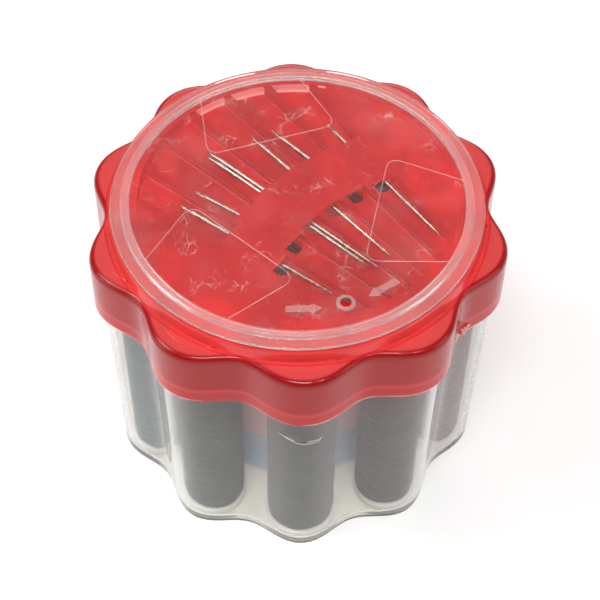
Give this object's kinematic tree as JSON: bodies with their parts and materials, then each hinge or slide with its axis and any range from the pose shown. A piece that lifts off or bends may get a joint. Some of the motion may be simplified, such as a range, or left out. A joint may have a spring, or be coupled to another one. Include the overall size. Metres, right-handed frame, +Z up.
{
  "type": "sewing box with trays",
  "caption": "Round lobed sewing kit box: clear base with upright thread spools and stacked trays, red lid with a fan of needle channels under a turning clear dispenser cover.",
  "frame": {"origin": "centre of the resting face, on the box's axis", "axes": "+Z up along the axis; one lobe points along -Y, and the wider pair of opposite lobes lies along Y"},
  "size_m": [0.0834, 0.0868, 0.0697],
  "materials": {
    "base_clear": "milky clear polystyrene, glossy, with fine scuffs",
    "lid_red": "translucent saturated red polystyrene, glossy",
    "cover_clear": "clear polystyrene with fine scratches and a knurled rim",
    "needle_steel": "polished nickel-plated steel",
    "spool_plastic": "off-white moulded plastic",
    "thread_black": "wound sewing thread, matt, fine slanting strands",
    "thread_brown": "wound sewing thread, matt, fine slanting strands",
    "thread_rose": "wound sewing thread, matt, fine slanting strands",
    "thread_navy": "wound sewing thread, matt, fine slanting strands",
    "thread_white": "wound sewing thread, matt, fine slanting strands",
    "thread_yellow": "wound sewing thread, matt, fine slanting strands",
    "thread_violet": "wound sewing thread, matt, fine slanting strands",
    "thread_cream": "wound sewing thread, matt, fine slanting strands",
    "thread_teal": "wound sewing thread, matt, fine slanting strands",
    "thread_green": "wound sewing thread, matt, fine slanting strands",
    "tray_white": "milky white moulded plastic, satin",
    "tray_blue": "blue moulded plastic, satin",
    "tray_pink": "pink moulded plastic, satin",
    "tape_dark": "dark coated tape, rolled",
    "thimble_steel": "dimpled nickel-plated steel",
    "pin_brass": "brass-plated wire",
    "button_ivory": "polished polyester button",
    "button_black": "polished polyester button",
    "button_brick": "polished polyester button",
    "button_blue": "polished polyester button"
  },
  "bodies": {
    "base": {"base_cup": "base_clear"},
    "tray_lower": {"tray_lower": "tray_blue", "safety_pin_wire_1": "pin_brass", "safety_pin_clasp_1": "pin_brass", "safety_pin_wire_2": "pin_brass", "safety_pin_clasp_2": "pin_brass"},
    "tray_middle": {"tray_middle": "tray_pink", "button_1": "button_ivory", "button_2": "button_black", "button_3": "button_brick", "button_4": "button_blue"},
    "tray_upper": {"tray_upper": "tray_white", "tape_measure": "tape_dark", "thimble": "thimble_steel"},
    "lid": {"lid": "lid_red"},
    "cover": {"needle_cover": "cover_clear"},
    "spool_01": {"spool_core_01": "spool_plastic", "thread_01": "thread_black"},
    "spool_02": {"spool_core_02": "spool_plastic", "thread_02": "thread_brown"},
    "spool_03": {"spool_core_03": "spool_plastic", "thread_03": "thread_rose"},
    "spool_04": {"spool_core_04": "spool_plastic", "thread_04": "thread_navy"},
    "spool_05": {"spool_core_05": "spool_plastic", "thread_05": "thread_white"},
    "spool_06": {"spool_core_06": "spool_plastic", "thread_06": "thread_yellow"},
    "spool_07": {"spool_core_07": "spool_plastic", "thread_07": "thread_violet"},
    "spool_08": {"spool_core_08": "spool_plastic", "thread_08": "thread_cream"},
    "spool_09": {"spool_core_09": "spool_plastic", "thread_09": "thread_teal"},
    "spool_10": {"spool_core_10": "spool_plastic", "thread_10": "thread_green"},
    "needle_1": {"needle_1": "needle_steel"},
    "needle_2": {"needle_2": "needle_steel"},
    "needle_3": {"needle_3": "needle_steel"},
    "needle_4": {"needle_4": "needle_steel"},
    "needle_5": {"needle_5": "needle_steel"},
    "needle_6": {"needle_6": "needle_steel"},
    "needle_7": {"needle_7": "needle_steel"}
  },
  "joints": [
    {"name": "tray_lower_lift", "type": "slide", "parent": "base", "child": "tray_lower", "axis": [0, 0, 1], "range_m": [0, 0.064]},
    {"name": "tray_middle_lift", "type": "slide", "parent": "tray_lower", "child": "tray_middle", "axis": [0, 0, 1], "range_m": [0, 0.05]},
    {"name": "tray_upper_lift", "type": "slide", "parent": "tray_middle", "child": "tray_upper", "axis": [0, 0, 1], "range_m": [0, 0.036]},
    {"name": "lid_lift", "type": "slide", "parent": "tray_upper", "child": "lid", "axis": [0, 0, 1], "range_m": [0, 0.06]},
    {"name": "cover_turn", "type": "hinge", "parent": "lid", "child": "cover", "pos_m": [0, 0, 0.0684], "axis": [0, 0, 1], "continuous": true},
    {"name": "spool_01_spin", "type": "hinge", "parent": "base", "child": "spool_01", "pos_m": [0, -0.0317, 0.0018], "axis": [0, 0, 1], "continuous": true},
    {"name": "spool_02_spin", "type": "hinge", "parent": "base", "child": "spool_02", "pos_m": [0.01863, -0.02565, 0.0018], "axis": [0, 0, 1], "continuous": true},
    {"name": "spool_03_spin", "type": "hinge", "parent": "base", "child": "spool_03", "pos_m": [0.03015, -0.0098, 0.0018], "axis": [0, 0, 1], "continuous": true},
    {"name": "spool_04_spin", "type": "hinge", "parent": "base", "child": "spool_04", "pos_m": [0.03015, 0.0098, 0.0018], "axis": [0, 0, 1], "continuous": true},
    {"name": "spool_05_spin", "type": "hinge", "parent": "base", "child": "spool_05", "pos_m": [0.01863, 0.02565, 0.0018], "axis": [0, 0, 1], "continuous": true},
    {"name": "spool_06_spin", "type": "hinge", "parent": "base", "child": "spool_06", "pos_m": [0, 0.0317, 0.0018], "axis": [0, 0, 1], "continuous": true},
    {"name": "spool_07_spin", "type": "hinge", "parent": "base", "child": "spool_07", "pos_m": [-0.01863, 0.02565, 0.0018], "axis": [0, 0, 1], "continuous": true},
    {"name": "spool_08_spin", "type": "hinge", "parent": "base", "child": "spool_08", "pos_m": [-0.03015, 0.0098, 0.0018], "axis": [0, 0, 1], "continuous": true},
    {"name": "spool_09_spin", "type": "hinge", "parent": "base", "child": "spool_09", "pos_m": [-0.03015, -0.0098, 0.0018], "axis": [0, 0, 1], "continuous": true},
    {"name": "spool_10_spin", "type": "hinge", "parent": "base", "child": "spool_10", "pos_m": [-0.01863, -0.02565, 0.0018], "axis": [0, 0, 1], "continuous": true},
    {"name": "needle_1_slide", "type": "slide", "parent": "lid", "child": "needle_1", "axis": [-0.7832, 0.6218, 0], "range_m": [-0.006, 0.009]},
    {"name": "needle_2_slide", "type": "slide", "parent": "lid", "child": "needle_2", "axis": [-0.8064, 0.5913, 0], "range_m": [-0.014, 0.004]},
    {"name": "needle_3_slide", "type": "slide", "parent": "lid", "child": "needle_3", "axis": [-0.7212, 0.6928, 0], "range_m": [-0.0045, 0.008]},
    {"name": "needle_4_slide", "type": "slide", "parent": "lid", "child": "needle_4", "axis": [-0.7212, 0.6928, 0], "range_m": [-0.008, 0.009]},
    {"name": "needle_5_slide", "type": "slide", "parent": "lid", "child": "needle_5", "axis": [-0.63, 0.7766, 0], "range_m": [-0.0065, 0.011]},
    {"name": "needle_6_slide", "type": "slide", "parent": "lid", "child": "needle_6", "axis": [-0.6762, 0.7367, 0], "range_m": [-0.015, 0.002]},
    {"name": "needle_7_slide", "type": "slide", "parent": "lid", "child": "needle_7", "axis": [-0.5585, 0.8295, 0], "range_m": [-0.0005, 0.0115]}
  ]
}
